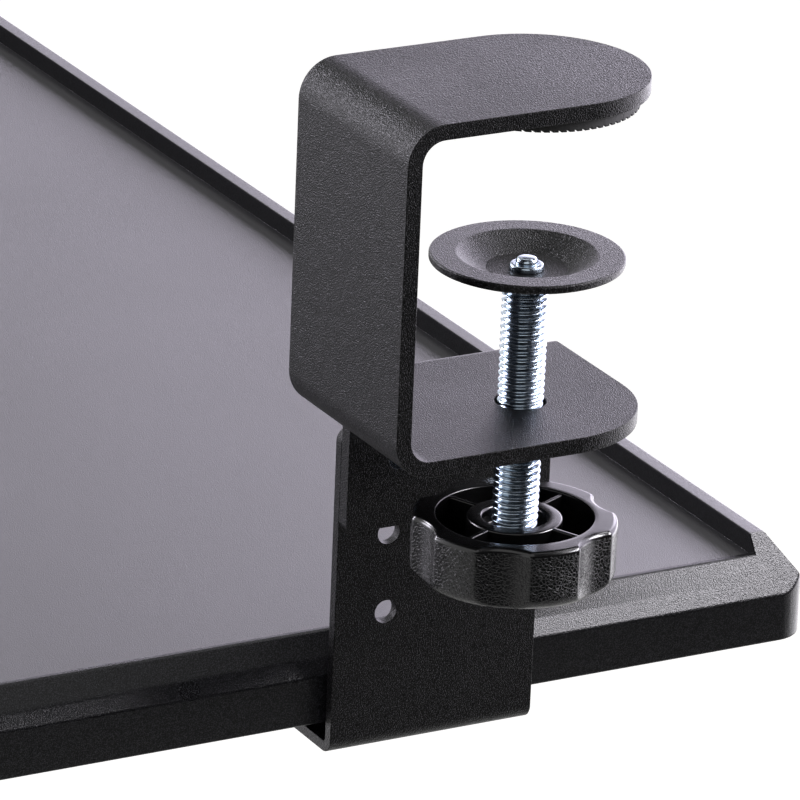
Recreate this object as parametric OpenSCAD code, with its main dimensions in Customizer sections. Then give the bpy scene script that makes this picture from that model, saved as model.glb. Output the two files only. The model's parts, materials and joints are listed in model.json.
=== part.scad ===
// Keyboard tray that hangs under a desk from two screw clamps.
// Millimetres. X runs along the tray, +Y points back under the desk, +Z is up.
// The origin is below the middle of the tray, level with the feet of the two height brackets.
// Every clamp piece is drawn for the +X end and mirrored for the other end.

/* [Tray] */
// length of the tray from end face to end face
tray_length = 640; // [560:10:760]
// depth of the tray from front face to back face
tray_depth = 300; // [240:10:340]
// radius of the upright corners
tray_corner_r = 8; // [4:0.5:12]
// upright part of the outside wall
skirt_h = 11.3; // [9:0.1:14]
// height of the sloping band from the skirt to the edge of the deck
bevel_h = 8.2; // [6:0.1:10]
// how far the sloping band leans in over that height
bevel_in = 5.8; // [4:0.1:7]
// thickness of the deck
deck_t = 3; // [2.5:0.1:4]
// step from the deck up to the fine edge round it
edge_step = 0.6; // [0.3:0.1:1]
// width of that fine edge
edge_w = 1.6; // [1:0.1:3]
// height of the keyboard stop along the back, above the deck
lip_h = 4.7; // [3:0.1:8]
// flat top of the keyboard stop
lip_w = 3.7; // [2:0.1:6]
// wall of the skirt
skirt_t = 3; // [2:0.1:4]
// stiffening ribs under the deck
rib_t = 2; // [1.5:0.1:3]

/* [Clamp] */
// width of the bent steel strap
strap_w = 48; // [40:1:56]
// thickness of the strap
strap_t = 3.5; // [3:0.1:4]
// clear height between the two jaws
throat_h = 70; // [60:1:90]
// from the inside of the strap's upright to the screw axis
reach = 39.3; // [34:0.1:46]
// inside radius of the two main bends
bend_r = 5; // [3:0.5:7]
// position of the screw axis along Y
screw_y = 50; // [40:1:60]
// top of the lower jaw above the bracket's foot
jaw_z = 90.8; // [86:0.1:110]
// how far the bent-down tab reaches below the top of the lower jaw
tab_h = 37.3; // [34:0.1:42]
// outside of the tab, measured inwards from the strap's far edge
tab_out = 8; // [7:0.5:12]
// rubber pad radius
pad_r = 22; // [18:0.5:23]
// rubber pad thickness
pad_t = 2.8; // [1.5:0.1:4]
// distance from rib to rib on the pad
pad_pitch = 1.7; // [1.2:0.1:3]

/* [Screw] */
// outside radius of the thread
thread_r = 5; // [4:0.5:5]
// thread pitch
thread_pitch = 1.5; // [1:0.25:1.75]
// height of the disc's rim above the lower jaw, as drawn
disc_rise = 33.1; // [28:0.1:45]
// radius of the pressure disc
disc_r = 20.7; // [18:0.1:23]
// thickness of the disc's sheet
disc_t = 1.8; // [1:0.1:2]
// depth of the dish in the disc
dish_h = 3.5; // [2:0.1:5]
// inside radius of the disc's flat rim
rim_r = 15.2; // [13:0.1:17]
// radius of the flat floor of the dish
floor_r = 8.5; // [7:0.1:10]
// from the lower jaw's top down to the top of the knob, as drawn
knob_drop = 25.9; // [24:0.1:34]
// outside radius of the knob
knob_r = 22; // [20.5:0.5:23]
// height of the knob
knob_h = 13.6; // [11:0.1:18]
// number of lobes round the knob
lobes = 6; // [5:1:8]
// inside radius of the knob's hollow
hollow_r = 16.9; // [14:0.1:17.5]
// outside radius of the knob's hub
hub_r = 10.25; // [10:0.05:11]

/* [Height bracket] */
// width of the bracket and of the tab it is bolted to
plate_w = 50; // [46:1:60]
// thickness of the bracket
plate_t = 2.5; // [2:0.1:3]
// gap between the bracket and the end of the tray
plate_gap = 2; // [1.5:0.1:4]
// from the foot's underside to the underside of the tray
foot_gap = 6; // [5.5:0.1:8]
// from the top row of holes to the bracket's top edge
plate_top = 6.9; // [6:0.1:12]
// distance between the two columns of holes
hole_columns = 25; // [20:1:30]
// distance between two rows of holes
hole_pitch = 18.5; // [16:0.5:20]
// top row of holes below the top of the lower jaw
hole_drop = 21.7; // [18:0.1:24]
// radius of the height bolts
bolt_r = 2.5; // [2:0.5:2.5]

/* [Slide] */
// centre line of a rail, measured in from the end of the tray
rail_in = 30; // [28:1:40]
// outside width of the rail
rail_w = 34; // [32:1:40]
// outside height of the rail
rail_h = 12; // [11.5:0.5:12.5]
// thickness of the rail's sheet
rail_t = 1.5; // [1.2:0.1:2]
// length of the rail
rail_l = 260; // [230:5:280]
// slot along the underside of the rail
rail_slot = 14; // [13:1:16]
// length of the slide bar
bar_l = 70; // [60:5:90]
// length of one glide shoe
shoe_l = 20; // [15:1:25]
// length of one end stop
stop_l = 6; // [4:1:10]
// radius of the rail screws
rail_screw_r = 2; // [1.5:0.5:2]

/* [Clearances] */
// turning fits, on the radius
turn_gap = 0.08; // [0.05:0.01:0.1]
// pushed or moulded fits, on the radius
push_gap = 0.03; // [0.01:0.01:0.05]
// sliding gap round a glide shoe
glide_gap = 0.3; // [0.2:0.05:0.5]

/* [Hidden] */
$fn = 96;
// tray levels and edges
half_l = tray_length / 2;
half_d = tray_depth / 2;
tray_z = foot_gap;
bevel_z = tray_z + skirt_h;
edge_z = bevel_z + bevel_h;
deck_z = edge_z - edge_step;
deck_under = deck_z - deck_t;
lip_z = deck_z + lip_h;
lean = bevel_in / bevel_h;
lip_lean = lean * (lip_z - bevel_z);
lip_y = half_d - lip_lean - lip_w;
// clamp positions
tab_x = half_l + plate_gap + plate_t;
strap_x0 = tab_x + tab_out;
strap_x1 = strap_x0 + strap_w;
screw_x = strap_x0 + strap_w / 2;
web_y = screw_y - reach - strap_t;
low_z = jaw_z - strap_t;
roof_z = jaw_z + throat_h;
top_z = roof_z + strap_t;
mid_z = jaw_z + throat_h / 2;
out_r = bend_r + strap_t;
plate_y0 = screw_y - plate_w / 2;
plate_y1 = screw_y + plate_w / 2;
tab_in_r = 1;
tab_out_r = tab_in_r + strap_t;
foot_in_r = 1;
foot_out_r = foot_in_r + plate_t;
corner_r = 3;
tab_corner_r = 2;
bolt_hole_r = bolt_r + 0.15;
jaw_hole_r = thread_r + 0.5;
top_row_z = jaw_z - hole_drop;
plate_h = top_row_z + plate_top;
// screw levels
disc_z = jaw_z + disc_rise;
dish_z = disc_z - dish_h;
shoulder_z = dish_z - disc_t - 0.1;
neck_r = 2.4;
tip_z = dish_z + 2.6;
washer_t = 1.3;
washer_r = 3.7;
knob_z1 = jaw_z - knob_drop;
knob_z0 = knob_z1 - knob_h;
head_h = 6.4;
head_af = 16;
seat_z = knob_z0 + head_h;
recess_r = 6.9;
recess_h = 4;
hub_floor_z = knob_z1 - recess_h;
knob_turn = 25;
bush_h = 6;
bush_r = 8.5;
// slide levels
rail_x = half_l - rail_in;
rib_room = 8;
rail_z0 = tray_z + 0.5;
rail_z1 = rail_z0 + rail_h;
run_z0 = rail_z0 + rail_t;
run_z1 = rail_z1 - rail_t;
run_w = rail_w - 2 * rail_t;
stem_w = rail_slot - 4;
head_z = run_z0 + 2;
shoe_room = 3.5;
bar_head_w = run_w - 2 * shoe_room;
bar_head_t = 2.5;
bar_screw_r = 2;
bar_screw_head_r = 4;
bar_screw_cone = bar_screw_head_r - bar_screw_r;
foot_end_x = rail_x - rail_w / 2 + 3;
screw_head_h = 2;
screw_head_r = 3.6;
boss_r = 5;
rail_screw_ys = [-105, -35, 35, 105];
column_ys = [screw_y - hole_columns / 2, screw_y + hole_columns / 2];
steel_black = [0.17, 0.17, 0.18];
plastic_black = [0.11, 0.11, 0.12];
rubber_black = [0.06, 0.06, 0.06];
zinc = [0.78, 0.79, 0.8];
glide_white = [0.9, 0.9, 0.86];

// Helpers

// mirror a piece of the +X end to the other end
module on_left() {
  mirror([1, 0, 0]) children();
}

// extrude a Y-Z drawing along X
module along_x(x0, length) {
  translate([x0, 0, 0]) rotate([90, 0, 90]) linear_extrude(length) children();
}

// extrude an X-Z drawing along +Y
module along_y(y0, length) {
  translate([0, y0 + length, 0]) rotate([90, 0, 0]) linear_extrude(length) children();
}

// box from corner to corner
module block(from, to) {
  translate(from) cube([to[0] - from[0], to[1] - from[1], to[2] - from[2]]);
}

// flat rectangle from corner to corner
module panel(from, to) {
  translate(from) square([to[0] - from[0], to[1] - from[1]]);
}

// rectangle with four round corners
module soft_panel(from, to, r) {
  panel([from[0] + r, from[1]], [to[0] - r, to[1]]);
  panel([from[0], from[1] + r], [to[0], to[1] - r]);
  for (x = [from[0] + r, to[0] - r])
    for (y = [from[1] + r, to[1] - r])
      translate([x, y]) circle(r);
}

// quarter of a bend, outside the corner that points to -X and +Z when turn is 0
module bend(centre, r_out, r_in, turn) {
  translate(centre) rotate(turn)
    intersection() {
      difference() {
        circle(r_out);
        circle(r_in);
      }
      panel([-r_out, 0], [0, r_out]);
    }
}

module rod(z0, z1, r) {
  translate([0, 0, z0]) cylinder(h = z1 - z0, r = r);
}

module hex_rod(z0, z1, across) {
  translate([0, 0, z0]) cylinder(h = z1 - z0, r = across / sqrt(3), $fn = 6);
}

// Tray

// outside wall seen along one edge; half is the distance from the middle to the wall
module wall_profile(half) {
  top_half = half - lip_lean;
  polygon([
    [-half, tray_z], [half, tray_z], [half, bevel_z], [top_half, lip_z],
    [-top_half, lip_z], [-half, bevel_z]
  ]);
}

module tray_shell() {
  intersection() {
    along_y(-half_d, tray_depth) wall_profile(half_l);
    along_x(-half_l, tray_length) wall_profile(half_d);
    translate([0, 0, tray_z]) linear_extrude(lip_z - tray_z)
      soft_panel([-half_l, -half_d], [half_l, half_d], tray_corner_r);
  }
}

module tray_ribs() {
  rib_z = tray_z + 2;
  rib_top = deck_under + 0.5;
  reach_x = rail_x - rail_w / 2 - rib_room;
  inner_d = half_d - skirt_t - 0.5;
  for (i = [-2 : 2])
    translate([i * reach_x / 2, 0, 0])
      block([-rib_t / 2, -inner_d, rib_z], [rib_t / 2, inner_d, rib_top]);
  for (i = [-1 : 1])
    translate([0, i * half_d / 2, 0])
      block([-reach_x, -rib_t / 2, rib_z], [reach_x, rib_t / 2, rib_top]);
}

// hollow below the deck, a wall's width in from the outside
module under_hollow(wall, top) {
  block([-half_l + wall, -half_d + wall, tray_z - 1], [half_l - wall, half_d - wall, top]);
}

module tray() {
  edge_x = half_l - bevel_in - edge_w;
  edge_y = half_d - bevel_in - edge_w;
  step_in = lean * (deck_under - bevel_z) + skirt_t;
  color(plastic_black)
    difference() {
      union() {
        difference() {
          tray_shell();
          // everything above the fine edge, in front of the keyboard stop
          block([-half_l, -half_d - 1, edge_z], [half_l, lip_y, lip_z + 1]);
          // the deck
          block([-edge_x, -edge_y, deck_z], [edge_x, lip_y, lip_z + 1]);
          // hollow underside, stepped to follow the sloping band
          under_hollow(skirt_t, bevel_z);
          under_hollow(step_in, deck_under);
        }
        tray_ribs();
        for (side = [-1, 1])
          for (y = rail_screw_ys)
            translate([side * rail_x, y, 0])
              rod(rail_z1, deck_under + 0.5, boss_r);
      }
      // blind holes for the rail screws
      for (side = [-1, 1])
        for (y = rail_screw_ys)
          translate([side * rail_x, y, 0])
            rod(rail_z1 - 1, deck_under + 1.2, rail_screw_r + push_gap);
    }
}

// Clamp

module strap_outline(grow, end_y) {
  r = bend_r + grow;
  from = [web_y + strap_t - grow, jaw_z - grow];
  to = [end_y, roof_z + grow];
  panel([from[0] + r, from[1]], to);
  panel([from[0], from[1] + r], [from[0] + r, to[1] - r]);
  translate([from[0] + r, from[1] + r]) circle(r);
  translate([from[0] + r, to[1] - r]) circle(r);
}

module top_jaw_plan() {
  panel([strap_x0, web_y], [strap_x1, screw_y]);
  translate([screw_x, screw_y]) circle(strap_w / 2);
}

module low_jaw_plan() {
  round_y = plate_y1 - strap_w / 2;
  panel([strap_x0, web_y], [strap_x1, round_y]);
  panel([strap_x0, round_y], [screw_x, plate_y1]);
  translate([screw_x, round_y]) circle(strap_w / 2);
}

module tab_bend_profile() {
  centre = [tab_x + tab_out_r, jaw_z - tab_out_r];
  panel([centre[0], low_z], [strap_x0 + 1, jaw_z]);
  bend(centre, tab_out_r, tab_in_r, 0);
}

module tab_face() {
  z0 = jaw_z - tab_h;
  z1 = jaw_z - tab_out_r;
  r = tab_corner_r;
  panel([plate_y0, z0 + r], [plate_y1, z1]);
  panel([plate_y0 + r, z0], [plate_y1 - r, z1]);
  for (y = [plate_y0 + r, plate_y1 - r])
    translate([y, z0 + r]) circle(r);
}

module clamp_bracket() {
  color(steel_black)
    difference() {
      union() {
        intersection() {
          along_x(strap_x0, strap_w)
            difference() {
              strap_outline(strap_t, plate_y1 + 5);
              strap_outline(0, plate_y1 + 6);
            }
          union() {
            translate([0, 0, mid_z]) linear_extrude(throat_h) top_jaw_plan();
            translate([0, 0, mid_z - throat_h]) linear_extrude(throat_h) low_jaw_plan();
          }
        }
        along_y(plate_y0, plate_w) tab_bend_profile();
        along_x(tab_x, strap_t) tab_face();
      }
      translate([screw_x, screw_y, 0]) rod(low_z - 1, jaw_z + 1, jaw_hole_r);
      // tapped holes for the height bolts
      for (y = column_ys)
        translate([tab_x - 1, y, top_row_z]) rotate([0, 90, 0]) rod(0, strap_t + 2, bolt_r + push_gap);
    }
}

module jaw_pad() {
  groove = 0.6;
  depth = 0.5;
  count = floor(pad_r / pad_pitch);
  color(rubber_black)
    difference() {
      translate([screw_x, screw_y, 0]) rod(roof_z - pad_t, roof_z, pad_r);
      for (i = [-count : count])
        translate([screw_x - pad_r - 1, screw_y + (i + 0.5) * pad_pitch - groove / 2, roof_z - pad_t - 1])
          cube([2 * pad_r + 2, groove, depth + 1]);
    }
}

module thread_bush() {
  color(zinc)
    translate([screw_x, screw_y, 0])
      difference() {
        rod(low_z - bush_h, low_z, bush_r);
        rod(low_z - bush_h - 1, low_z + 1, thread_r + turn_gap);
      }
}

// the thread is drawn as plain rings, one for each turn
module thread_rings(z0, z1) {
  depth = 0.6 * thread_pitch;
  turns = floor((z1 - z0) / thread_pitch);
  root_r = thread_r - depth;
  crest = 0.15 * thread_pitch;
  rotate_extrude()
    polygon(concat(
      [[0, z0], [root_r, z0]],
      [for (i = [0 : turns - 1]) for (p = [
        [root_r, 0.1], [thread_r, 0.5 - crest / thread_pitch],
        [thread_r, 0.5 + crest / thread_pitch], [root_r, 0.9]
      ]) [p[0], z0 + (i + p[1]) * thread_pitch]],
      [[root_r, z1], [0, z1]]
    ));
}

module clamp_screw() {
  color(zinc)
    translate([screw_x, screw_y, 0]) {
      hex_rod(knob_z0, seat_z, head_af);
      rod(seat_z - 0.5, hub_floor_z, thread_r);
      thread_rings(hub_floor_z - 0.2, shoulder_z);
      rod(shoulder_z - 0.5, tip_z - 0.8, neck_r);
      translate([0, 0, tip_z - 0.8]) cylinder(h = 0.8, r1 = neck_r, r2 = neck_r - 0.9);
    }
}

module tip_washer() {
  color(zinc)
    translate([screw_x, screw_y, 0])
      difference() {
        union() {
          rod(dish_z, dish_z + washer_t - 0.4, washer_r);
          translate([0, 0, dish_z + washer_t - 0.4]) cylinder(h = 0.4, r1 = washer_r, r2 = washer_r - 0.4);
        }
        rod(dish_z - 1, dish_z + washer_t + 1, neck_r + push_gap);
      }
}

module pressure_disc() {
  hole_r = neck_r + turn_gap;
  edge = 0.3;
  color(steel_black)
    translate([screw_x, screw_y, 0])
      rotate_extrude()
        polygon([
          [hole_r, dish_z - disc_t], [floor_r + 0.4, dish_z - disc_t], [rim_r + 0.4, disc_z - disc_t],
          [disc_r - edge, disc_z - disc_t], [disc_r, disc_z - disc_t + edge], [disc_r, disc_z - edge],
          [disc_r - edge, disc_z], [rim_r, disc_z], [floor_r, dish_z], [hole_r, dish_z]
        ]);
}

module knob_outline() {
  step = 360 / lobes;
  scoop_r = 0.51 * knob_r;
  scoop_at = 0.895 * knob_r + scoop_r;
  difference() {
    circle(knob_r);
    for (i = [0 : lobes - 1])
      rotate((i + 0.5) * step) translate([scoop_at, 0]) circle(scoop_r);
  }
}

module clamp_knob() {
  floor_t = 3;
  soft = 2;
  color(plastic_black)
    translate([screw_x, screw_y, 0])
      difference() {
        intersection() {
          translate([0, 0, knob_z0]) linear_extrude(knob_h) rotate(knob_turn - 30) knob_outline();
          rotate_extrude()
            polygon([
              [0, knob_z0], [knob_r - soft, knob_z0], [knob_r + 0.5, knob_z0 + soft + 0.5],
              [knob_r + 0.5, knob_z1 - 1.5], [knob_r - 1, knob_z1], [0, knob_z1]
            ]);
        }
        // ring-shaped hollow, with four thin spokes left standing
        difference() {
          rod(knob_z0 + floor_t, knob_z1 + 1, hollow_r);
          rod(knob_z0, knob_z1 + 1, hub_r);
          for (i = [0 : 1])
            rotate(knob_turn + 90 * i)
              block([-knob_r, -0.6, knob_z0], [knob_r, 0.6, knob_z1]);
        }
        rod(hub_floor_z, knob_z1 + 1, recess_r);
        rod(knob_z0 - 1, knob_z1 + 1, thread_r + push_gap);
        hex_rod(knob_z0 - 1, seat_z, head_af + 2 * push_gap);
      }
}

// Height bracket

module plate_face() {
  panel([plate_y0, foot_out_r], [plate_y1, plate_h - corner_r]);
  panel([plate_y0 + corner_r, foot_out_r], [plate_y1 - corner_r, plate_h]);
  for (y = [plate_y0 + corner_r, plate_y1 - corner_r])
    translate([y, plate_h - corner_r]) circle(corner_r);
}

module foot_plan() {
  x1 = tab_x - foot_out_r;
  panel([foot_end_x, plate_y0 + corner_r], [x1, plate_y1 - corner_r]);
  panel([foot_end_x + corner_r, plate_y0], [x1, plate_y1]);
  for (y = [plate_y0 + corner_r, plate_y1 - corner_r])
    translate([foot_end_x + corner_r, y]) circle(corner_r);
}

module height_bracket() {
  color(steel_black)
    difference() {
      union() {
        along_x(tab_x - plate_t, plate_t) plate_face();
        along_y(plate_y0, plate_w) bend([tab_x - foot_out_r, foot_out_r], foot_out_r, foot_in_r, 180);
        linear_extrude(plate_t) foot_plan();
      }
      for (row = [0 : 2])
        for (y = column_ys)
          translate([tab_x - plate_t - 1, y, top_row_z - row * hole_pitch])
            rotate([0, 90, 0]) rod(0, plate_t + 2, bolt_hole_r);
      for (y = column_ys)
        translate([rail_x, y, 0]) {
          rod(-1, plate_t + 1, bar_screw_r + push_gap);
          translate([0, 0, -0.01])
            cylinder(h = bar_screw_cone, r1 = bar_screw_head_r + push_gap, r2 = bar_screw_r + push_gap);
        }
    }
}

// the heads lie on the tray's side of the bracket, and the threads end inside the tab
module height_bolts() {
  head_r = 2 * bolt_r - 0.25;
  color(zinc)
    for (y = column_ys)
      translate([tab_x - plate_t, y, top_row_z]) rotate([0, -90, 0]) {
        rod(0.4 - plate_t - strap_t, 0.1, bolt_r);
        difference() {
          union() {
            rod(0, 1.8, head_r);
            translate([0, 0, 1.8]) cylinder(h = 1, r1 = head_r, r2 = head_r - 1.25);
          }
          hex_rod(1.2, 4, 3);
        }
      }
}

// Slide

module slide_bar() {
  y0 = screw_y - bar_l / 2;
  color(steel_black)
    difference() {
      along_y(y0, bar_l) {
        panel([rail_x - stem_w / 2, plate_t], [rail_x + stem_w / 2, head_z + 0.5]);
        panel([rail_x - bar_head_w / 2, head_z], [rail_x + bar_head_w / 2, head_z + bar_head_t]);
      }
      for (y = column_ys)
        translate([rail_x, y, 0]) rod(plate_t - 1, head_z, bar_screw_r + push_gap);
    }
}

module slide_bar_screws() {
  color(zinc)
    for (y = column_ys)
      translate([rail_x, y, 0])
        difference() {
          union() {
            cylinder(h = bar_screw_cone, r1 = bar_screw_head_r, r2 = bar_screw_r);
            rod(bar_screw_cone - 0.1, head_z - 0.5, bar_screw_r);
          }
          hex_rod(-1, 1.2, 2.5);
        }
}

module shoe_profile() {
  groove_z = run_z1 - screw_head_h - 0.8;
  half_w = run_w / 2 - glide_gap;
  difference() {
    panel([rail_x - half_w, run_z0 + glide_gap], [rail_x + half_w, run_z1 - glide_gap]);
    panel([rail_x - stem_w / 2, run_z0], [rail_x + stem_w / 2, head_z + 0.1]);
    panel([rail_x - bar_head_w / 2, head_z], [rail_x + bar_head_w / 2, head_z + bar_head_t]);
    panel([rail_x - screw_head_r - 2.4, groove_z], [rail_x + screw_head_r + 2.4, run_z1]);
  }
}

module glide_shoes() {
  color(glide_white)
    for (y = [screw_y - bar_l / 2, screw_y + bar_l / 2 - shoe_l])
      along_y(y, shoe_l) shoe_profile();
}

module rail() {
  color(zinc)
    difference() {
      along_y(-rail_l / 2, rail_l)
        difference() {
          panel([rail_x - rail_w / 2, rail_z0], [rail_x + rail_w / 2, rail_z1]);
          panel([rail_x - run_w / 2, run_z0], [rail_x + run_w / 2, run_z1]);
          panel([rail_x - rail_slot / 2, rail_z0 - 1], [rail_x + rail_slot / 2, run_z0 + 1]);
        }
      for (y = rail_screw_ys)
        translate([rail_x, y, 0]) rod(run_z1 - 1, rail_z1 + 1, rail_screw_r + 0.2);
    }
}

module rail_screws() {
  color(zinc)
    for (y = rail_screw_ys)
      translate([rail_x, y, 0])
        difference() {
          union() {
            rod(run_z1 - screw_head_h, run_z1, screw_head_r);
            rod(run_z1 - 0.1, deck_under + 0.8, rail_screw_r);
          }
          hex_rod(run_z1 - screw_head_h - 1, run_z1 - 0.9, 2.5);
        }
}

module rail_stops() {
  color(rubber_black)
    for (y = [-rail_l / 2, rail_l / 2 - stop_l])
      block([rail_x - run_w / 2, y, run_z0], [rail_x + run_w / 2, y + stop_l, run_z1]);
}

// Pieces

tray();
clamp_bracket();  // right_clamp_bracket
jaw_pad();  // right_jaw_pad
thread_bush();  // right_thread_bush
clamp_screw();  // right_clamp_screw
tip_washer();  // right_tip_washer
pressure_disc();  // right_pressure_disc
clamp_knob();  // right_clamp_knob
height_bracket();  // right_height_bracket
height_bolts();  // right_height_bolts
slide_bar();  // right_slide_bar
glide_shoes();  // right_glide_shoes
slide_bar_screws();  // right_slide_bar_screws
rail();  // right_rail
rail_screws();  // right_rail_screws
rail_stops();  // right_rail_stops
on_left() clamp_bracket();  // left_clamp_bracket
on_left() jaw_pad();  // left_jaw_pad
on_left() thread_bush();  // left_thread_bush
on_left() clamp_screw();  // left_clamp_screw
on_left() tip_washer();  // left_tip_washer
on_left() pressure_disc();  // left_pressure_disc
on_left() clamp_knob();  // left_clamp_knob
on_left() height_bracket();  // left_height_bracket
on_left() height_bolts();  // left_height_bolts
on_left() slide_bar();  // left_slide_bar
on_left() glide_shoes();  // left_glide_shoes
on_left() slide_bar_screws();  // left_slide_bar_screws
on_left() rail();  // left_rail
on_left() rail_screws();  // left_rail_screws
on_left() rail_stops();  // left_rail_stops
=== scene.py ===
import json
import math

import bmesh
import bpy
from mathutils import Matrix, Vector

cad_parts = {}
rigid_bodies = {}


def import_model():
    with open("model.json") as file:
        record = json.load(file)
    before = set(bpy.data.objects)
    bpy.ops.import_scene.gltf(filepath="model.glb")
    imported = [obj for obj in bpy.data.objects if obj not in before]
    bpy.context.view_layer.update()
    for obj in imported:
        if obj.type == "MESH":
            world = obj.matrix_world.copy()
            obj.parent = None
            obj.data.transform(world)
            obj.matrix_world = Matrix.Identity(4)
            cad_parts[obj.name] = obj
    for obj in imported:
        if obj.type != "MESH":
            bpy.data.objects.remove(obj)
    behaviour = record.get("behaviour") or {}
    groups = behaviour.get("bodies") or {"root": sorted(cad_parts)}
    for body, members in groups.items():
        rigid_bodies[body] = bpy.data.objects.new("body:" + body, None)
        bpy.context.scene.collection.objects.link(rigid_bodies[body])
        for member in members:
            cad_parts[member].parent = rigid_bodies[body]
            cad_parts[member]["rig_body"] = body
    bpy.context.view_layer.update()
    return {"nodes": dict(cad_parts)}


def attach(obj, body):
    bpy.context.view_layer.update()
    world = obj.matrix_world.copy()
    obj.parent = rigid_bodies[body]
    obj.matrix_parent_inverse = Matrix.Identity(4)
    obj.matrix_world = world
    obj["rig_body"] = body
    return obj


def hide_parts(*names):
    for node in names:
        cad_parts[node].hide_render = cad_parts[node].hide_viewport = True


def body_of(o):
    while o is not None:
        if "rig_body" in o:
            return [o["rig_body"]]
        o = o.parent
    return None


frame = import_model()
mm = 0.001
sides = {"right": 1, "left": -1}
print("frame loaded:", len(frame["nodes"]), "nodes")


# camera at the photo's own angle, a long lens from the right front corner
cameraSet = {
    "place": (1.55643, -0.64937, 0.62353),
    "right": (0.474217, 0.879547, 0.038915),
    "down": (0.333298, -0.138439, -0.932602),
    "lens": 317.31,
    "sensor": 36.0,
    "clipEnd": 100,
}


def placeCamera(settings):
    data = bpy.data.cameras.new("trayCamera")
    data.lens = settings["lens"]
    data.sensor_width = settings["sensor"]
    data.clip_end = settings["clipEnd"]
    right = Vector(settings["right"]).normalized()
    up = -Vector(settings["down"]).normalized()
    back = right.cross(up)
    turn = Matrix((right, up, back)).transposed().to_4x4()
    camera = bpy.data.objects.new("trayCamera", data)
    camera.matrix_world = Matrix.Translation(settings["place"]) @ turn
    bpy.context.scene.collection.objects.link(camera)
    bpy.context.scene.camera = camera


placeCamera(cameraSet)
print("camera placed")


# colours are written as sRGB hex and turned linear here
def linear(hexColour):
    parts = [int(hexColour[i:i + 2], 16) / 255 for i in (1, 3, 5)]
    return [c / 12.92 if c <= 0.04045 else ((c + 0.055) / 1.055) ** 2.4 for c in parts] + [1.0]


# adds a node: settings go to its options and sockets, links join sockets
def addNode(tree, kind, settings=None, links=None):
    made = tree.nodes.new(kind)
    settings = settings or {}
    for key, value in settings.items():
        if isinstance(key, str) and hasattr(made, key):
            setattr(made, key, value)
    for key, value in settings.items():
        if not isinstance(key, str) or not hasattr(made, key):
            made.inputs[key].default_value = value
    for key, source in (links or {}).items():
        tree.links.new(source, made.inputs[key])
    return made


def startMaterial(name):
    made = bpy.data.materials.new(name)
    made.use_nodes = True
    made.node_tree.nodes.clear()
    return made, made.node_tree


noiseSpan = (0.3, 0.7)  # where most of a noise texture's values lie


# a skin of fine bumps with paler tips and darker hollows, the base of all the moulded and coated
# surfaces;
# the paler tips are painted glints and the darker hollows painted shade (the real grain is finer
# than a pixel, so it is drawn a little coarser to show)
def grainedSkin(name, look):
    made, tree = startMaterial(name)
    place = addNode(tree, "ShaderNodeTexCoord").outputs["Object"]
    grain = addNode(tree, "ShaderNodeTexNoise", {
        "Scale": 1 / (look["grainMm"] * mm), "Detail": look["grainDetail"], "Roughness": 0.55,
    }, {"Vector": place}).outputs[0]
    drift = addNode(tree, "ShaderNodeTexNoise", {
        "Scale": 1 / (look["driftMm"] * mm), "Detail": 3.0,
    }, {"Vector": place}).outputs[0]
    speck = addNode(tree, "ShaderNodeMapRange", {
        "From Min": look["speck"][0], "From Max": look["speck"][1],
    }, {"Value": grain}).outputs[0]
    # colour follows the grain's height: painted glints on its tips and painted shade in its hollows
    tone = addNode(tree, "ShaderNodeMix", {
        "data_type": "RGBA", 6: linear(look["dark"]), 7: linear(look["light"]),
    }, {0: speck}).outputs[2]
    rough = addNode(tree, "ShaderNodeMapRange", {
        "From Min": noiseSpan[0], "From Max": noiseSpan[1],
        "To Min": look["rough"][0], "To Max": look["rough"][1],
    }, {"Value": drift}).outputs[0]
    bump = addNode(tree, "ShaderNodeBump", {
        "Strength": look["bump"], "Distance": look["heightMm"] * mm,
    }, {"Height": grain}).outputs[0]
    shader = addNode(tree, "ShaderNodeBsdfPrincipled", {
        "IOR": look["ior"], "Specular IOR Level": look["gloss"],
    }, {"Base Color": tone, "Roughness": rough, "Normal": bump}).outputs[0]
    addNode(tree, "ShaderNodeOutputMaterial", None, {"Surface": shader})
    return made


# polyester powder coat, sprayed and baked with a sand texture: matt black that greys at a low
# angle; its pale specks are painted glints
powderLook = {
    "dark": "#000000", "light": "#3e3d42", "speck": (0.53, 0.83),
    "driftMm": 30.0, "grainMm": 0.29, "grainDetail": 0.0, "heightMm": 0.175, "bump": 1.0,
    "rough": (0.30, 0.36), "ior": 1.5, "gloss": 0.12,
}
powderCoat = grainedSkin("sandPowderCoat", powderLook)

# the same coat on the pressed discs, made glossier and smoother so that the dish catches more
# light: a lit copy of the powder coat, a painted sheen on the dish
litDiscCoat = grainedSkin("litDiscPowderCoat", {**powderLook, "heightMm": 0.15, "gloss": 0.25})

# what the three grains of the tray's ABS share
trayAbs = {"grainMm": 0.24, "grainDetail": 0.0, "bump": 1.0, "ior": 1.53}

# ABS moulded against a spark-eroded tool: a fine even grain that turns silvery towards the light;
# its pale specks are painted glints
deckGrain = grainedSkin("mouldedDeckAbs", {
    **trayAbs, "dark": "#060607", "light": "#201f23", "speck": (0.32, 0.68),
    "driftMm": 90.0, "heightMm": 0.05, "rough": (0.38, 0.41), "gloss": 0.95,
})

# the same ABS where the tool is etched deeper: a stronger speckle of painted glints on the sloping
# bands
edgeGrain = grainedSkin("etchedEdgeAbs", {
    **trayAbs, "dark": "#08080a", "light": "#303034", "speck": (0.45, 0.78),
    "driftMm": 60.0, "heightMm": 0.06, "rough": (0.27, 0.30), "gloss": 0.2,
})

# the same ABS on the steep inner wall of the stop, made darker and far duller than the rest of the
# tray:
# a shaded copy of the ABS, painted shade that reads as a plain black line
shadedWallGrain = grainedSkin("shadedWallAbs", {
    **trayAbs, "dark": "#08080a", "light": "#1c1c1f", "speck": (0.32, 0.68),
    "driftMm": 60.0, "heightMm": 0.04, "rough": (0.42, 0.46), "gloss": 0.03,
})

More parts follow.
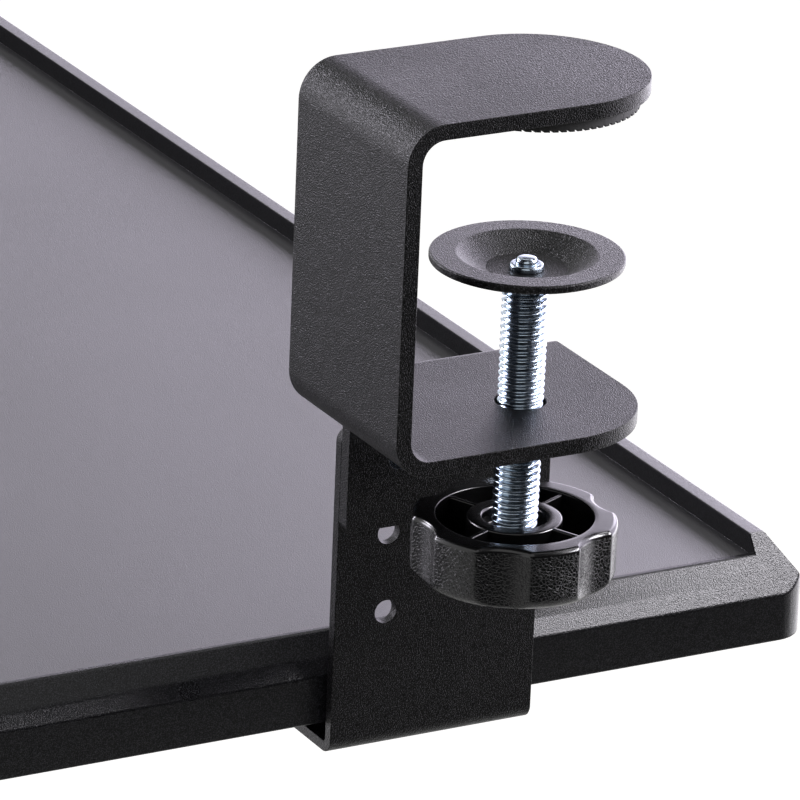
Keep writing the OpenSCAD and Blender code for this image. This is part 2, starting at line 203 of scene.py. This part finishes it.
# ABS moulded against a polished tool: deep black with clear soft highlights
glossAbs = grainedSkin("polishedKnobAbs", {
    "dark": "#0b0b0c", "light": "#0f0f10", "speck": (0.3, 0.7),
    "driftMm": 14.0, "grainMm": 3.0, "grainDetail": 1.0, "heightMm": 0.02, "bump": 0.25,
    "rough": (0.20, 0.27), "ior": 1.53, "gloss": 0.5,
})

# moulded nitrile rubber: dull, slightly dusty black
ribbedRubber = grainedSkin("mouldedNitrile", {
    "dark": "#0e0e0e", "light": "#171716", "speck": (0.3, 0.7),
    "driftMm": 6.0, "grainMm": 0.3, "grainDetail": 2.0, "heightMm": 0.03, "bump": 0.3,
    "rough": (0.62, 0.75), "ior": 1.52, "gloss": 0.3,
})

# natural acetal, machined from moulded stock: milky white with a waxy gloss
waxyAcetal = grainedSkin("naturalAcetal", {
    "dark": "#e4e1d6", "light": "#efece3", "speck": (0.3, 0.7),
    "driftMm": 8.0, "grainMm": 0.4, "grainDetail": 2.0, "heightMm": 0.02, "bump": 0.2,
    "rough": (0.34, 0.42), "ior": 1.48, "gloss": 0.5,
})


# ABS moulded with a leather grain: pebbles about 0.7 mm across with creases between them
leatherLook = {
    "dark": "#0a0a0b", "light": "#101011", "cellMm": 0.72, "wanderMm": 0.28, "fineMm": 0.2,
    "wanderScale": 0.6, "creaseShare": 0.11, "fineShare": 0.15,
    "heightMm": 0.06, "bump": 0.8, "rough": 0.27, "ior": 1.53, "gloss": 0.3,
}


def leatherAbs(look):
    made, tree = startMaterial("leatherGrainAbs")
    place = addNode(tree, "ShaderNodeTexCoord").outputs["Object"]
    wander = addNode(tree, "ShaderNodeTexNoise", {
        "Scale": look["wanderScale"] / (look["cellMm"] * mm), "Detail": 2.0,
    }, {"Vector": place}).outputs[1]
    pulled = addNode(tree, "ShaderNodeVectorMath", {
        "operation": "MULTIPLY_ADD", 1: (look["wanderMm"] * mm * 2,) * 3,
    }, {0: wander, 2: place}).outputs[0]
    crease = addNode(tree, "ShaderNodeTexVoronoi", {
        "feature": "DISTANCE_TO_EDGE", "Scale": 1 / (look["cellMm"] * mm),
    }, {"Vector": pulled}).outputs[0]
    pebble = addNode(tree, "ShaderNodeMapRange", {
        "interpolation_type": "SMOOTHSTEP", "From Min": 0.0, "From Max": look["creaseShare"],
        "To Min": 0.0, "To Max": 1.0,
    }, {"Value": crease}).outputs[0]
    fine = addNode(tree, "ShaderNodeTexNoise", {
        "Scale": 1 / (look["fineMm"] * mm), "Detail": 1.0,
    }, {"Vector": place}).outputs[0]
    height = addNode(tree, "ShaderNodeMath", {
        "operation": "MULTIPLY_ADD", 1: look["fineShare"],
    }, {0: fine, 2: pebble}).outputs[0]
    bump = addNode(tree, "ShaderNodeBump", {
        "Strength": look["bump"], "Distance": look["heightMm"] * mm,
    }, {"Height": height}).outputs[0]
    # a touch darker in the creases than on the pebbles: painted shade in the creases
    tone = addNode(tree, "ShaderNodeMix", {
        "data_type": "RGBA", 6: linear(look["dark"]), 7: linear(look["light"]),
    }, {0: pebble}).outputs[2]
    shader = addNode(tree, "ShaderNodeBsdfPrincipled", {
        "IOR": look["ior"], "Specular IOR Level": look["gloss"], "Roughness": look["rough"],
    }, {"Base Color": tone, "Normal": bump}).outputs[0]
    addNode(tree, "ShaderNodeOutputMaterial", None, {"Surface": shader})
    return made


knobSideSkin = leatherAbs(leatherLook)

# zinc-plated steel: cold silver, with the streaks that rolling leaves along the part
zincLook = {
    "screw": {
        "dark": "#93a1b0", "light": "#cfdbe7", "streakMm": (1.2, 1.2, 0.25), "rough": (0.14, 0.26),
        "heightMm": 0.02, "bump": 0.15,
    },
    "rail": {
        "dark": "#9a9ea3", "light": "#b9bdc1", "streakMm": (0.5, 40.0, 0.5), "rough": (0.26, 0.40),
        "heightMm": 0.02, "bump": 0.15,
    },
}


def zincPlate(name, look):
    made, tree = startMaterial(name)
    place = addNode(tree, "ShaderNodeTexCoord").outputs["Object"]
    stretched = addNode(tree, "ShaderNodeMapping", {
        "vector_type": "TEXTURE", "Scale": [size * mm for size in look["streakMm"]],
    }, {"Vector": place}).outputs[0]
    streak = addNode(tree, "ShaderNodeTexNoise", {
        "Scale": 1.0, "Detail": 3.0, "Roughness": 0.6,
    }, {"Vector": stretched}).outputs[0]
    tone = addNode(tree, "ShaderNodeMix", {
        "data_type": "RGBA", 6: linear(look["dark"]), 7: linear(look["light"]),
    }, {0: streak}).outputs[2]
    rough = addNode(tree, "ShaderNodeMapRange", {
        "From Min": noiseSpan[0], "From Max": noiseSpan[1],
        "To Min": look["rough"][0], "To Max": look["rough"][1],
    }, {"Value": streak}).outputs[0]
    bump = addNode(tree, "ShaderNodeBump", {
        "Strength": look["bump"], "Distance": look["heightMm"] * mm,
    }, {"Height": streak}).outputs[0]
    shader = addNode(tree, "ShaderNodeBsdfPrincipled", {
        "Metallic": 1.0,
    }, {"Base Color": tone, "Roughness": rough, "Normal": bump}).outputs[0]
    addNode(tree, "ShaderNodeOutputMaterial", None, {"Surface": shader})
    return made


screwZinc = zincPlate("brightZincScrew", zincLook["screw"])
railZinc = zincPlate("rolledZincRail", zincLook["rail"])
print("materials made")


# turns a bmesh into a piece that stands for a CAD node and rides on its body
def finishPiece(bm, node, materials):
    mesh = bpy.data.meshes.new(node + "_finished")
    bmesh.ops.recalc_face_normals(bm, faces=bm.faces)
    for face in bm.faces:
        face.smooth = True
    bm.to_mesh(mesh)
    bm.free()
    for material in materials:
        mesh.materials.append(material)
    piece = bpy.data.objects.new(node + "_finished", mesh)
    bpy.context.scene.collection.objects.link(piece)
    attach(piece, body_of(frame["nodes"][node])[0])
    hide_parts(node)
    return piece


# how a CAD mesh is cleaned, and which of its edges count as sharp
easeSet = {"weldMm": 0.002, "flatDeg": 0.5, "sharpDeg": 27, "segments": 3, "flatWeight": 100}


def keepFlats(piece):
    flats = piece.modifiers.new("keepFlats", "WEIGHTED_NORMAL")
    flats.weight = easeSet["flatWeight"]


# the CAD shape with its sharp edges broken; easeOf gives each edge a share of the full radius
def softened(node, materials, radiusMm, easeOf=None, skinOf=None):
    s = easeSet
    bm = bmesh.new()
    bm.from_mesh(frame["nodes"][node].data)
    bmesh.ops.remove_doubles(bm, verts=bm.verts, dist=s["weldMm"] * mm)
    bmesh.ops.dissolve_limit(
        bm, angle_limit=math.radians(s["flatDeg"]), verts=bm.verts, edges=bm.edges)
    weight = bm.edges.layers.float.new("bevel_weight_edge")
    sharp = math.radians(s["sharpDeg"])
    for edge in bm.edges:
        if len(edge.link_faces) == 2 and edge.calc_face_angle(0.0) > sharp:
            edge[weight] = easeOf(edge) if easeOf else 1.0
    if skinOf:
        for face in bm.faces:
            face.material_index = skinOf(face)
    piece = finishPiece(bm, node, materials)
    ease = piece.modifiers.new("brokenEdges", "BEVEL")
    ease.limit_method = "WEIGHT"
    ease.width = radiusMm * mm
    ease.segments = s["segments"]
    ease.use_clamp_overlap = True
    keepFlats(piece)
    return piece


# tray: main ridges well rounded, the fine edge round the deck less, nothing on the ribs below
traySet = {
    "ridgeMm": 0.8, "halfLength": 320.0, "halfDepth": 150.0, "cornerR": 8.0, "rimReach": 0.4,
    "deckZ": 24, "fineEdgeZ": 25.2, "stopZ": 27,  # what lies above each height
    "stopEase": 0.7, "innerEase": 0.45, "deckEase": 0.05,
    "steep": 0.2, "level": 0.95, "facing": 0.9,  # limits for a face's direction
}
traySkins = {"deck": 0, "edge": 1, "wall": 2}


def trayEase(edge):
    s = traySet
    middle = (edge.verts[0].co + edge.verts[1].co) / 2 / mm
    if middle.z > s["stopZ"]:  # stop along the back
        return s["stopEase"]
    if middle.z > s["fineEdgeZ"]:  # fine edge: its outer corner is rounder than its inner one
        inner = min(abs(face.normal.z) for face in edge.link_faces) < s["steep"]
        return s["innerEase"] if inner else 1.0
    if middle.z > s["deckZ"]:
        return s["deckEase"]
    dx = max(abs(middle.x) - s["halfLength"] + s["cornerR"], 0)
    dy = max(abs(middle.y) - s["halfDepth"] + s["cornerR"], 0)
    return 1.0 if math.hypot(dx, dy) > s["cornerR"] - s["rimReach"] else 0.0


def traySkin(face):
    s = traySet
    middle = face.calc_center_median()
    z = middle.z / mm
    # the stop's inner wall gets the shaded copy of the ABS: painted shade
    if z > s["fineEdgeZ"] and face.normal.y < -s["facing"] and middle.y > 0:
        return traySkins["wall"]
    fineEdge = s["fineEdgeZ"] < z < s["stopZ"]
    onDeck = face.normal.z > s["level"] and z > s["deckZ"] and not fineEdge
    return traySkins["deck" if onDeck else "edge"]


softened("tray", [deckGrain, edgeGrain, shadedWallGrain], traySet["ridgeMm"], trayEase, traySkin)
print("tray done")


# bent, moulded and turned parts: the skin, and the radius in mm of the broken edges
sheetSet = {
    "clamp_bracket": (powderCoat, 0.6),
    "height_bracket": (powderCoat, 0.45),
    "slide_bar": (powderCoat, 0.4),
    "jaw_pad": (ribbedRubber, 0.16),
    "rail_stops": (ribbedRubber, 0.4),
    "glide_shoes": (waxyAcetal, 0.25),
    "rail": (railZinc, 0.3),
    "thread_bush": (screwZinc, 0.3),
    "height_bolts": (screwZinc, 0.2),
    "slide_bar_screws": (screwZinc, 0.15),
    "rail_screws": (screwZinc, 0.2),
}
for side in sides:
    for part, (skin, radius) in sheetSet.items():
        softened(side + "_" + part, [skin], radius)
print("sheet metal and small parts done")


sideShare = 0.48  # the most of a straight side that one fillet takes up
spinWeldMm = 0.001


# corner points (r, z, fillet) in mm become a smooth path
def roundedPath(corners, steps=5):
    path = []
    for i, (r, z, fillet) in enumerate(corners):
        here = Vector((r, z))
        if fillet <= 0:
            path.append(here)
            continue
        back = Vector(corners[i - 1][:2]) - here
        ahead = Vector(corners[(i + 1) % len(corners)][:2]) - here
        half = back.angle(ahead) / 2
        reach = min(fillet / math.tan(half), sideShare * back.length, sideShare * ahead.length)
        radius = reach * math.tan(half)
        inward = (back.normalized() + ahead.normalized()).normalized()
        middle = here + inward * radius / math.sin(half)
        first = here + back.normalized() * reach - middle
        last = here + ahead.normalized() * reach - middle
        sweep = first.angle_signed(last)
        for k in range(steps + 1):
            turned = -sweep * k / steps
            path.append(middle + Matrix.Rotation(turned, 2) @ first)
    return path


# a point in mm at radius r and angle a round a vertical axis; flip -1 mirrors it in x
def onCircle(centre, r, a, z, flip=1):
    x = centre[0] + flip * r * math.cos(a)
    y = centre[1] + r * math.sin(a)
    return x * mm, y * mm, z * mm


# spins a path round a vertical axis; a closed path makes a ring
def spin(bm, path, centre, count, closed=True):
    rings = []
    for r, z in path:
        angles = [2 * math.pi * k / count for k in range(count)]
        rings.append([bm.verts.new(onCircle(centre, r, a, z)) for a in angles])
    last = len(rings) if closed else len(rings) - 1
    for i in range(last):
        a, b = rings[i], rings[(i + 1) % len(rings)]
        for k in range(count):
            bm.faces.new((a[k], a[(k + 1) % count], b[(k + 1) % count], b[k]))
    bmesh.ops.remove_doubles(
        bm, verts=[v for ring in rings for v in ring], dist=spinWeldMm * mm)


axisAt = {side: (356.5 * sign, 50.0) for side, sign in sides.items()}

# pressed dish: a flat rim round a lower floor, with a hole for the screw's neck
discSet = {
    "rim": 20.7, "rimInner": 15.0, "floor": 8.7, "rimZ": 123.9, "floorZ": 120.4, "sheet": 1.8,
    "hole": 2.48, "seat": 4.0, "dish": 0.25, "wider": 0.4, "count": 144,
    "holeEdge": 0.1, "rimEdge": 0.5, "rimBend": 1.3, "floorBend": 0.3, "seatBend": 0.6,
    "lowFloorBend": 2.0, "lowRimBend": 1.6,
}


def pressureDisc(side):
    s = discSet
    rim, floor = s["rimZ"], s["floorZ"]
    path = roundedPath([
        (s["hole"], floor - s["sheet"], s["holeEdge"]),
        (s["floor"] + s["wider"], floor - s["sheet"], s["lowFloorBend"]),
        (s["rimInner"] + s["wider"], rim - s["sheet"], s["lowRimBend"]),
        (s["rim"], rim - s["sheet"], s["rimEdge"]),
        (s["rim"], rim, s["rimEdge"]),
        (s["rimInner"], rim, s["rimBend"]),
        (s["floor"], floor + s["dish"], s["floorBend"]),
        (s["seat"], floor, s["seatBend"]),
        (s["hole"], floor, s["holeEdge"]),
    ])
    bm = bmesh.new()
    spin(bm, path, axisAt[side], s["count"])
    keepFlats(finishPiece(bm, side + "_pressure_disc", [litDiscCoat]))


# washer under the riveted tip
washerSet = {
    "bore": 2.43, "r": 3.7, "z": 120.4, "thick": 1.3, "count": 72,
    "boreEdge": 0.1, "lowEdge": 0.2, "topEdge": 0.55,
}


def tipWasher(side):
    s = washerSet
    top = s["z"] + s["thick"]
    path = roundedPath([
        (s["bore"], s["z"], s["boreEdge"]), (s["r"], s["z"], s["lowEdge"]),
        (s["r"], top, s["topEdge"]), (s["bore"], top, s["boreEdge"]),
    ])
    bm = bmesh.new()
    spin(bm, path, axisAt[side], s["count"])
    keepFlats(finishPiece(bm, side + "_tip_washer", [screwZinc]))


# screw: six-sided head, plain shank, rolled thread, neck and tip
screwSet = {
    "threadR": 5.0, "pitch": 1.5, "depth": 0.9, "bottom": 60.7, "top": 118.5, "perTurn": 40,
    "headBottom": 51.3, "headTop": 57.7, "headAcross": 16.0, "headSides": 6,
    "chamferR": 0.7, "chamferH": 0.4,
    "shankIn": 0.2, "endIn": 0.5, "endOver": 0.3, "endEdge": 0.1,
    "neckR": 2.4, "tipZ": 123.0, "tipEdge": 0.95, "count": 64,
}
# one ridge as shares of the pitch and of the depth
threadForm = [
    (0.0, 0.0), (0.14, 0.05), (0.3, 0.6), (0.41, 0.93),
    (0.5, 1.0), (0.59, 0.93), (0.7, 0.6), (0.86, 0.05),
]


# one right-hand helix from end to end, cut flat at both ends
def thread(bm, s, centre):
    perTurn = s["perTurn"]
    turns = int((s["top"] - s["bottom"]) / s["pitch"]) + 2
    start = s["bottom"] - s["pitch"]
    rows = []
    for k in range(turns * perTurn + 1):
        a = 2 * math.pi * k / perTurn
        row = []
        for along, high in threadForm:
            z = start + s["pitch"] * (k / perTurn + along)
            r = s["threadR"] - s["depth"] * (1 - high)
            z = min(max(z, s["bottom"]), s["top"])
            row.append(bm.verts.new(onCircle(centre, r, a, z)))
        rows.append(row)
    for k in range(len(rows) - 1):
        for j in range(len(threadForm)):
            low, high = rows[k], rows[k + 1]
            if j + 1 < len(threadForm):
                quad = (low[j], high[j], high[j + 1], low[j + 1])
            elif k + 1 + perTurn < len(rows):  # the last point joins the first of the next turn
                quad = (low[j], high[j], rows[k + 1 + perTurn][0], rows[k + perTurn][0])
            else:
                continue
            heights = [v.co.z for v in quad]
            if len({tuple(v.co) for v in quad}) == 4 and max(heights) > min(heights):
                bm.faces.new(quad)
    loose = [v for v in bm.verts if not v.link_faces]
    bmesh.ops.delete(bm, geom=loose, context="VERTS")


def clampScrew(side):
    s = screwSet
    centre = axisAt[side]
    corner = s["headAcross"] / math.sqrt(3)
    endR = s["threadR"] - s["depth"] + s["endOver"]
    head = [  # in the knob's pocket
        (0.0, s["headBottom"], 0), (corner - s["chamferR"], s["headBottom"], 0),
        (corner, s["headBottom"] + s["chamferH"], 0), (corner, s["headTop"], 0),
        (0.0, s["headTop"], 0),
    ]
    shank = [  # below the thread
        (0.0, s["headTop"] - s["shankIn"], 0), (s["threadR"], s["headTop"] - s["shankIn"], 0),
        (s["threadR"], s["bottom"], 0), (0.0, s["bottom"], 0),
    ]
    tip = [  # thread end, neck and rounded tip
        (0.0, s["top"] - s["endIn"], 0), (endR, s["top"] - s["endIn"], 0),
        (endR, s["top"], s["endEdge"]), (s["neckR"], s["top"], s["endEdge"]),
        (s["neckR"], s["tipZ"], s["tipEdge"]), (0.0, s["tipZ"], 0),
    ]
    bm = bmesh.new()
    thread(bm, s, centre)
    spin(bm, roundedPath(head), centre, s["headSides"], False)
    spin(bm, roundedPath(shank), centre, s["count"], False)
    spin(bm, roundedPath(tip), centre, s["count"], False)
    keepFlats(finishPiece(bm, side + "_clamp_screw", [screwZinc]))


# knob: six lobes with scooped flats between, hollow top, hub and four webs
knobSet = {
    "r": 22.0, "bottom": 51.3, "top": 64.9, "lip": 1.15, "count": 360,
    "scoopR": 11.22, "scoopAt": 30.91, "scoopTurn": 25.0, "blend": 0.35,
    "footR": 18.9, "footH": 4.2, "footOver": 0.6, "footBlend": 0.5,
    "hollow": 16.9, "hollowRim": 1.2, "floorZ": 54.3, "draft": 0.15,
    "hub": 10.25, "hubDrop": 0.35, "recess": 6.9, "recessZ": 60.9, "recessDraft": 0.1, "bore": 5.06,
    "rimEdge": 0.35, "floorBend": 0.8, "hubEdge": 0.45, "recessEdge": 0.7, "recessBend": 0.4,
    "boreEdge": 0.2, "pocketAcross": 16.06, "pocketTop": 57.7,
    "webs": 4, "webT": 1.2, "webDrop": 0.45, "webEdge": 0.3, "webSink": 0.3, "webIn": 0.4,
    "footSteps": 8, "sideSteps": 4, "lipSteps": 6, "bendSteps": 4,
}
sixth = math.radians(60)
gloss, leather = 0, 1  # the knob's two skins


# the smaller of two lengths, blended where they are within k of each other
def softMin(a, b, k):
    h = max(k - abs(a - b), 0.0) / k
    return min(a, b) - h * h * k / 4


def lobedRadius(angle, s):
    off = (angle - math.radians(s["scoopTurn"])) % sixth
    off = min(off, sixth - off)
    inside = s["scoopR"] ** 2 - (s["scoopAt"] * math.sin(off)) ** 2
    if inside <= 0:
        return s["r"]
    scoop = s["scoopAt"] * math.cos(off) - math.sqrt(inside)
    return softMin(s["r"], scoop, s["blend"])


# the knob's outline from its foot over the rim and down to the pocket:
# (radius rule, z, skin of the band that follows)
def knobLoops(s):
    loops = []
    footTop = s["bottom"] + s["footH"]

    def lobed(inset, z):
        lift = min(max((z - s["bottom"]) / s["footH"], 0.0), 1.0)
        swell = math.sqrt(1 - (1 - lift) ** 2)
        foot = s["footR"] + (s["r"] + s["footOver"] - s["footR"]) * swell
        return lambda a: softMin(lobedRadius(a, s) - inset, foot, s["footBlend"])

    def plain(r):
        return lambda a: r

    def pocket(a):
        off = (a % sixth) - sixth / 2
        return s["pocketAcross"] / 2 / math.cos(off)

    for k in range(s["footSteps"] + 1):  # rounded foot
        z = s["bottom"] + s["footH"] * (1 - math.cos(math.pi / 2 * k / s["footSteps"]))
        loops.append((lobed(0.0, z), z, leather))
    for k in range(1, s["sideSteps"] + 1):
        z = footTop + (s["top"] - s["lip"] - s["bottom"] - s["footH"]) * k / s["sideSteps"]
        loops.append((lobed(0.0, z), z, leather if k < s["sideSteps"] else gloss))
    for k in range(1, s["lipSteps"] + 1):  # rolled upper edge
        a = math.pi / 2 * k / s["lipSteps"]
        z = s["top"] - s["lip"] * (1 - math.sin(a))
        loops.append((lobed(s["lip"] * (1 - math.cos(a)), z), z, gloss))
    hubTop = s["top"] - s["hubDrop"]
    inner = roundedPath([
        (s["hollow"] + s["hollowRim"], s["top"], 0),
        (s["hollow"], s["top"], s["rimEdge"]),
        (s["hollow"] - s["draft"], s["floorZ"], s["floorBend"]),
        (s["hub"] + s["draft"], s["floorZ"], s["floorBend"]),
        (s["hub"], hubTop, s["hubEdge"]),
        (s["recess"], hubTop, s["recessEdge"]),
        (s["recess"] - s["recessDraft"], s["recessZ"], s["recessBend"]),
        (s["bore"], s["recessZ"], s["boreEdge"]),
        (s["bore"], s["pocketTop"], 0),
    ], s["bendSteps"])
    for r, z in inner:
        loops.append((plain(r), z, gloss))
    loops.append((pocket, s["pocketTop"], gloss))
    loops.append((pocket, s["bottom"], gloss))
    return loops


# thin upright webs between the hub and the outer wall
def knobWebs(bm, s, centre, sign):
    half, edge = s["webT"] / 2, s["webEdge"]
    top, low = s["top"] - s["webDrop"], s["floorZ"] - s["webSink"]
    section = [
        (-half, low), (-half, top - edge), (-half + edge, top),
        (half - edge, top), (half, top - edge), (half, low),
    ]
    for turn in range(s["webs"]):
        a = math.radians(s["scoopTurn"] + 360 / s["webs"] * turn)
        out, across = Vector((math.cos(a), math.sin(a))), Vector((-math.sin(a), math.cos(a)))
        ends = []
        for r in (s["hub"] - s["webIn"], s["hollow"] + s["webIn"]):
            end = []
            for u, z in section:
                at = out * r + across * u
                place = ((centre[0] + sign * at.x) * mm, (centre[1] + at.y) * mm, z * mm)
                end.append(bm.verts.new(place))
            ends.append(end)
        for k in range(len(section)):
            m = (k + 1) % len(section)
            bm.faces.new((ends[0][k], ends[0][m], ends[1][m], ends[1][k]))


def clampKnob(side):
    s = knobSet
    centre, sign = axisAt[side], sides[side]
    loops = knobLoops(s)
    angles = [2 * math.pi * k / s["count"] for k in range(s["count"])]
    bm = bmesh.new()
    rings = []
    for rule, z, _ in loops:
        rings.append([bm.verts.new(onCircle(centre, rule(a), a, z, sign)) for a in angles])
    for i in range(len(rings)):
        a, b = rings[i], rings[(i + 1) % len(rings)]
        for k in range(s["count"]):
            m = (k + 1) % s["count"]
            bm.faces.new((a[k], a[m], b[m], b[k])).material_index = loops[i][2]
    knobWebs(bm, s, centre, sign)
    keepFlats(finishPiece(bm, side + "_clamp_knob", [glossAbs, knobSideSkin]))


for side in sides:
    pressureDisc(side)
    tipWasher(side)
    clampScrew(side)
    clampKnob(side)
print("screws, discs and knobs done")


# pale floor well below the tray, in a white studio
stageSet = {
    "floorZ": -0.62, "floorSize": 40.0, "floorSegments": 4, "floorRough": 0.8, "floorGloss": 0.1,
    "floorShade": "#efeeec", "floorColour": "#f2f1ef", "cloudsPerMetre": 1.5,
    "floorGlow": 0.5, "dayLevel": 0.5,
}
white = (1.0, 1.0, 1.0, 1.0)


# 1 for the camera and for rays that show the backdrop in gloss and glass, 0 for lighting
def backdropRays(tree):
    path = addNode(tree, "ShaderNodeLightPath")
    glossy = addNode(tree, "ShaderNodeMath", {"operation": "MAXIMUM"}, {
        0: path.outputs["Is Camera Ray"], 1: path.outputs["Is Glossy Ray"],
    }).outputs[0]
    return addNode(tree, "ShaderNodeMath", {"operation": "MAXIMUM"}, {
        0: glossy, 1: path.outputs["Is Transmission Ray"],
    }).outputs[0]


def layFloor(s):
    made, tree = startMaterial("paleStudioFloor")
    place = addNode(tree, "ShaderNodeTexCoord").outputs["Object"]
    cloud = addNode(tree, "ShaderNodeTexNoise", {
        "Scale": s["cloudsPerMetre"], "Detail": 2.0,
    }, {"Vector": place}).outputs[0]
    tone = addNode(tree, "ShaderNodeMix", {
        "data_type": "RGBA", 6: linear(s["floorShade"]), 7: linear(s["floorColour"]),
    }, {0: cloud}).outputs[2]
    seen = backdropRays(tree)
    glow = addNode(tree, "ShaderNodeMath", {
        "operation": "MULTIPLY", 1: s["floorGlow"],
    }, {0: seen}).outputs[0]
    shader = addNode(tree, "ShaderNodeBsdfPrincipled", {
        "Roughness": s["floorRough"], "Specular IOR Level": s["floorGloss"],
        "Emission Color": white,
    }, {"Base Color": tone, "Emission Strength": glow}).outputs[0]
    addNode(tree, "ShaderNodeOutputMaterial", None, {"Surface": shader})
    bm = bmesh.new()
    bmesh.ops.create_grid(bm, x_segments=s["floorSegments"], y_segments=s["floorSegments"],
                          size=s["floorSize"] / 2)
    mesh = bpy.data.meshes.new("paleFloor")
    bm.to_mesh(mesh)
    bm.free()
    mesh.materials.append(made)
    floor = bpy.data.objects.new("paleFloor", mesh)
    floor.location.z = s["floorZ"]
    bpy.context.scene.collection.objects.link(floor)


def lightWorld(s):
    world = bpy.data.worlds.new("whiteStudio")
    bpy.context.scene.world = world
    world.use_nodes = True
    tree = world.node_tree
    tree.nodes.clear()
    seen = backdropRays(tree)
    level = addNode(tree, "ShaderNodeMapRange", {
        "To Min": s["dayLevel"], "To Max": 1.0,
    }, {"Value": seen}).outputs[0]
    sky = addNode(tree, "ShaderNodeBackground", {"Color": white}, {"Strength": level}).outputs[0]
    addNode(tree, "ShaderNodeOutputWorld", None, {"Surface": sky})


# soft boxes: glare is the brightness of the front, where 1 is white
# overhead alone lights the surfaces; the others show in gloss alone, placed for the camera's view
boxSet = {
    "overhead": {
        "at": (0.1, -0.1, 2.4), "to": (0.2, 0.0, 0.1), "size": (2.4, 2.4),
        "glare": 1.2, "tint": "#ffffff", "lights": True,
    },
    "backWall": {
        "at": (-0.55, 0.62, 0.21), "to": (-0.55, 0.0, 0.21), "size": (2.2, 0.62),
        "glare": 2.15, "tint": "#ede2ff", "lights": False,
    },
    "dishGlow": {
        "at": (-0.18, 0.60, 0.27), "to": (-0.18, 0.0, 0.27), "size": (0.40, 0.22),
        "glare": 4.0, "tint": "#f4eeff", "lights": False,
    },
    "upBack": {
        "at": (0.35, 0.75, 1.35), "to": (0.35, 0.03, 0.12), "size": (1.0, 0.6),
        "glare": 10.0, "tint": "#fbf8ff", "lights": False,
    },
    "lowBack": {
        "at": (0.0, 1.1, -0.33), "to": (0.0, 0.0, -0.33), "size": (1.4, 0.4),
        "glare": 3.0, "tint": "#fbf8ff", "lights": False,
    },
    "rightBack": {
        "at": (0.58, 0.37, 0.35), "to": (0.58, 0.0, 0.35), "size": (0.32, 0.26),
        "glare": 46.0, "tint": "#fbf8ff", "lights": False,
    },
    "leftFront": {
        "at": (-0.75, -0.95, 0.30), "to": (0.35, 0.0, 0.12), "size": (0.75, 0.50),
        "glare": 14.5, "tint": "#f6f2ff", "lights": False,
    },
    "lowLeft": {
        "at": (-0.9, -0.72, -0.34), "to": (0.35, 0.0, 0.12), "size": (0.9, 0.45),
        "glare": 3.0, "tint": "#f6f2ff", "lights": False,
    },
    "bendGlow": {
        "at": (-0.19, -0.23, 0.43), "to": (0.35, 0.0, 0.16), "size": (0.17, 0.14),
        "glare": 36.0, "tint": "#f6f2ff", "lights": False,
    },
}


def hangBox(name, s):
    data = bpy.data.lights.new(name, "AREA")
    data.shape = "RECTANGLE"
    data.size, data.size_y = s["size"]
    data.color = linear(s["tint"])[:3]
    data.energy = s["glare"] * math.pi * s["size"][0] * s["size"][1]
    box = bpy.data.objects.new(name, data)
    box.location = s["at"]
    aim = Vector(s["to"]) - Vector(s["at"])
    box.rotation_euler = aim.to_track_quat("-Z", "Y").to_euler()
    box.visible_camera = False
    box.visible_diffuse = s["lights"]
    box.visible_glossy = not s["lights"]
    bpy.context.scene.collection.objects.link(box)


# black cards that show in reflections alone: each keeps the white studio or a box out of faces
# that are dark in the camera's view; corners run along the lower edge and back along the upper
cardColour = "#050505"
cardSet = {
    "nearCard": [
        (0.72, -1.2, -0.24), (0.72, 0.36, -0.24), (0.5, 0.40, -0.24),
        (0.5, 0.40, 0.2), (0.72, 0.36, 0.2), (0.72, -1.2, 0.2),
    ],
    "bevelCard": [(0.72, 0.0, 0.21), (0.72, 0.75, 0.21), (0.72, 0.75, 1.1), (0.72, 0.0, 1.1)],
    "topCard": [
        (-1.65, 0.61, 0.54), (0.55, 0.61, 0.54), (0.55, 0.61, 0.95), (-1.65, 0.61, 0.95),
    ],
    "edgeCard": [
        (0.395, 0.15, 0.15), (0.62, 0.15, 0.15), (0.62, 0.15, 0.42), (0.395, 0.15, 0.42),
    ],
    "skyCard": [
        (-0.32, -0.08, 0.50), (-0.32, 0.17, 0.50), (-0.14, 0.17, 0.76), (-0.14, -0.08, 0.76),
    ],
}


def standCards(cards):
    made, tree = startMaterial("blackCard")
    shader = addNode(tree, "ShaderNodeBsdfDiffuse", {"Color": linear(cardColour)}).outputs[0]
    addNode(tree, "ShaderNodeOutputMaterial", None, {"Surface": shader})
    for name, corners in cards.items():
        bm = bmesh.new()
        edge = [bm.verts.new(corner) for corner in corners]
        half = len(edge) // 2
        for k in range(half - 1):  # strips between the lower and the upper edge
            bm.faces.new((edge[k], edge[k + 1], edge[-k - 2], edge[-k - 1]))
        mesh = bpy.data.meshes.new(name)
        bm.to_mesh(mesh)
        bm.free()
        mesh.materials.append(made)
        card = bpy.data.objects.new(name, mesh)
        card.visible_camera = False
        card.visible_diffuse = False
        card.visible_shadow = False
        bpy.context.scene.collection.objects.link(card)


layFloor(stageSet)
lightWorld(stageSet)
for boxName, boxLook in boxSet.items():
    hangBox(boxName, boxLook)
standCards(cardSet)
bpy.context.scene.view_settings.view_transform = "Standard"
print("stage and light done")
